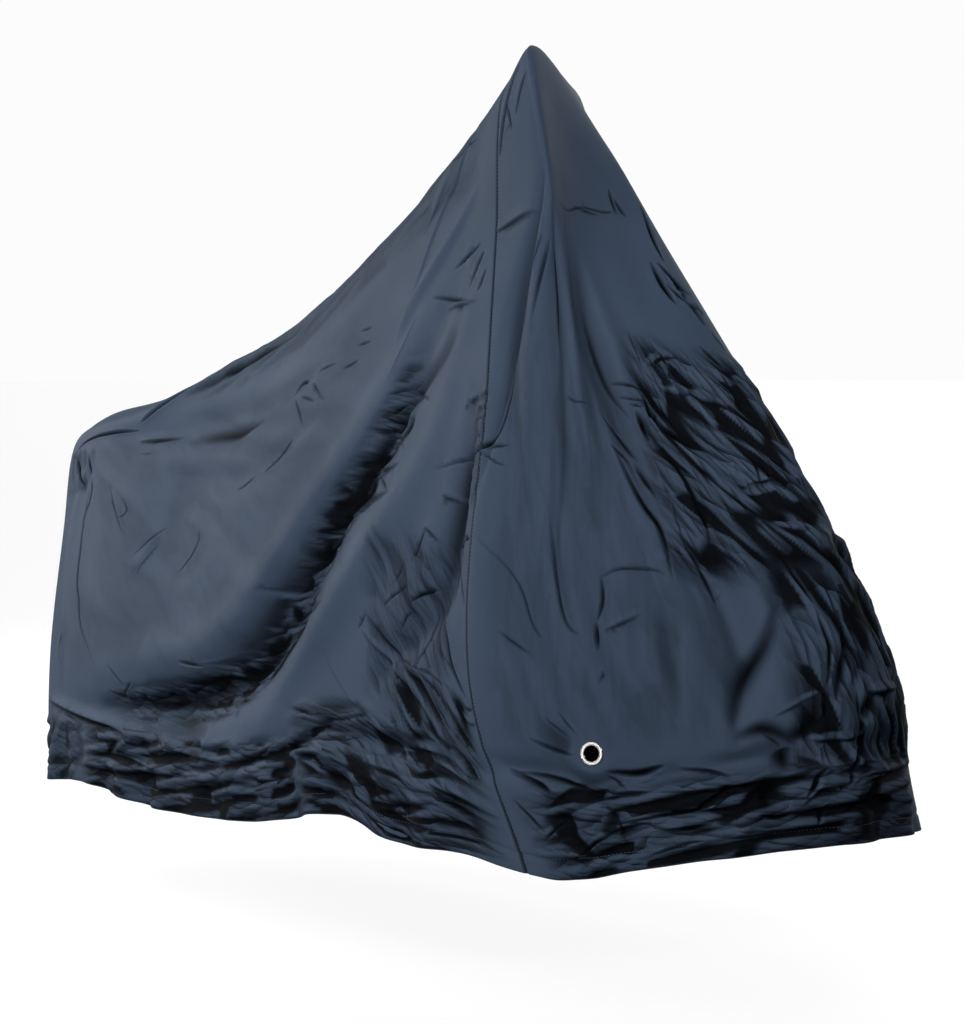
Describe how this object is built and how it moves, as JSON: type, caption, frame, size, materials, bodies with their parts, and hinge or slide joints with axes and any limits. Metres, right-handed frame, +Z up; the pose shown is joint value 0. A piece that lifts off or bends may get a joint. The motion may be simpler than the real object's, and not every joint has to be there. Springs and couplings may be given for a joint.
{
  "type": "motorcycle cover",
  "caption": "Draped motorcycle cover of thin dark coated cloth, hollow and open below, with a seam over the handlebar, a gathered elastic hem and a metal eyelet for a lock.",
  "frame": {"origin": "just under the cloth on the middle plane, midway between the two mirror peaks that hold the cover up", "axes": "+X forward to the front wheel, +Y to the motorcycle's left, +Z up"},
  "size_m": [2.0687, 0.7709, 1.2574],
  "materials": {
    "cloth": "thin coated polyester, dark navy, faintly shiny",
    "eyelet": "polished nickel plate"
  },
  "bodies": {
    "root": {"front_panel": "cloth", "rear_panel": "cloth", "eyelet_patch": "cloth", "eyelet_ring": "eyelet"}
  },
  "joints": []
}
